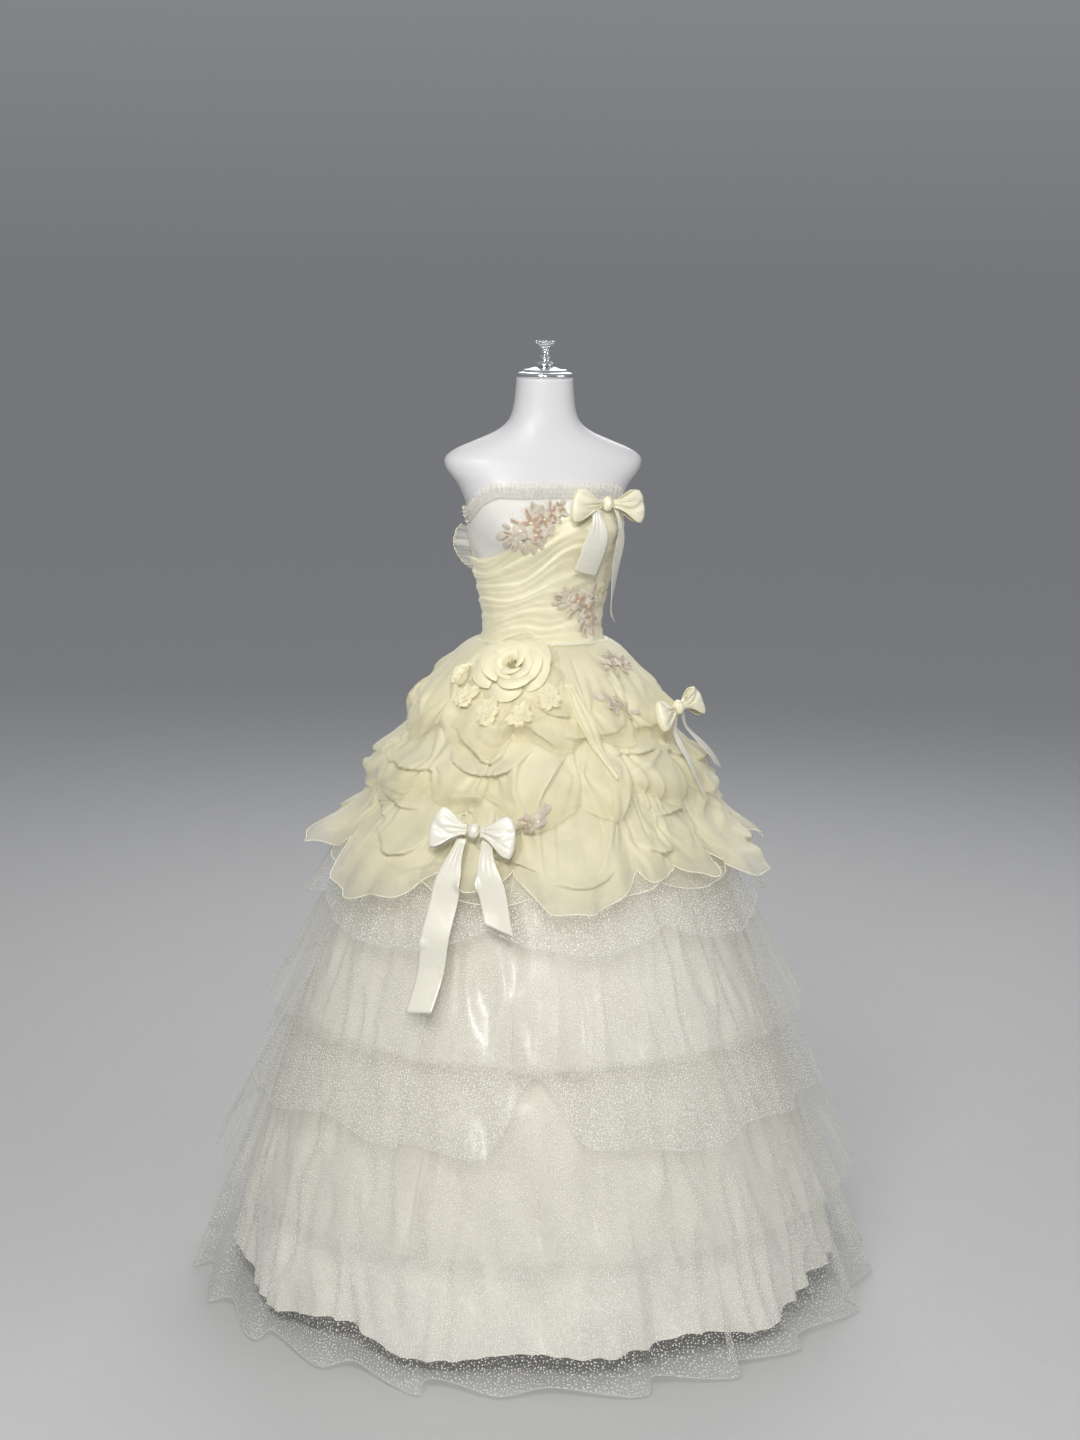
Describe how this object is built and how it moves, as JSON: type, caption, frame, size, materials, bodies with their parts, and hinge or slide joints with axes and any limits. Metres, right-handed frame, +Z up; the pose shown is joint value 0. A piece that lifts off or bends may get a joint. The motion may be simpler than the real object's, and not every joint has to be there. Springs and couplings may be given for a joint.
{
  "type": "strapless ball gown on a dress form",
  "caption": "Floor-length strapless ball gown with tiered net skirts, a draped overskirt, a rose and bows, on a limbless dress form with a stand.",
  "frame": {"origin": "centre of the stand's flat underside, on the floor", "axes": "+Z up along the stand and the neck, -Y towards the gown's front, +X to the right of someone facing the front"},
  "size_m": [1.1712, 1.1712, 1.59],
  "materials": {
    "form": "smooth satin white",
    "chrome": "polished",
    "crystal": "clear, polished",
    "steel": "brushed",
    "satin": "white satin, soft sheen",
    "yellow_satin": "pale yellow satin, soft sheen",
    "organza": "pale yellow chiffon organza, sheer and matt",
    "plain_net": "fine pleated white net, sheer",
    "spangled_net": "net with small glittering spots",
    "lace": "embroidered lace, beaded",
    "frill": "gathered net frill with small beads"
  },
  "bodies": {
    "root": {"form_torso": "form", "neck_cap": "chrome", "finial_stem": "chrome", "finial_crown": "crystal", "stand_pole": "steel", "stand_base": "steel", "lining_skirt": "satin", "bodice_front": "satin", "chest_tail_wide": "satin", "chest_tail_narrow": "satin", "hip_tail_front": "satin", "hip_tail_side": "satin", "lower_tail_long": "satin", "lower_tail_short": "satin", "chest_bow_knot": "yellow_satin", "chest_bow_loop_left": "yellow_satin", "chest_bow_loop_right": "yellow_satin", "hip_bow_knot": "yellow_satin", "hip_bow_loop_left": "yellow_satin", "hip_bow_loop_right": "yellow_satin", "lower_bow_knot": "yellow_satin", "lower_bow_loop_left": "yellow_satin", "lower_bow_loop_right": "yellow_satin", "overskirt_waist_row": "organza", "overskirt_middle_row": "organza", "overskirt_hem_row": "organza", "bodice_back_right": "organza", "bodice_back_left": "organza", "bodice_drape": "organza", "rose_petals": "organza", "rose_spiral": "organza", "sash": "organza", "blossom_1": "organza", "blossom_2": "organza", "blossom_3": "organza", "blossom_4": "organza", "blossom_5": "organza", "lower_pleated": "plain_net", "upper_pleated": "plain_net", "floor_net": "spangled_net", "middle_net": "spangled_net", "net_peplum": "spangled_net", "chest_lace": "lace", "waist_lace": "lace", "hip_lace": "lace", "overskirt_lace": "lace", "lower_lace": "lace", "neck_frill_front": "frill", "neck_frill_back": "frill", "side_ruffle": "frill"}
  },
  "joints": []
}
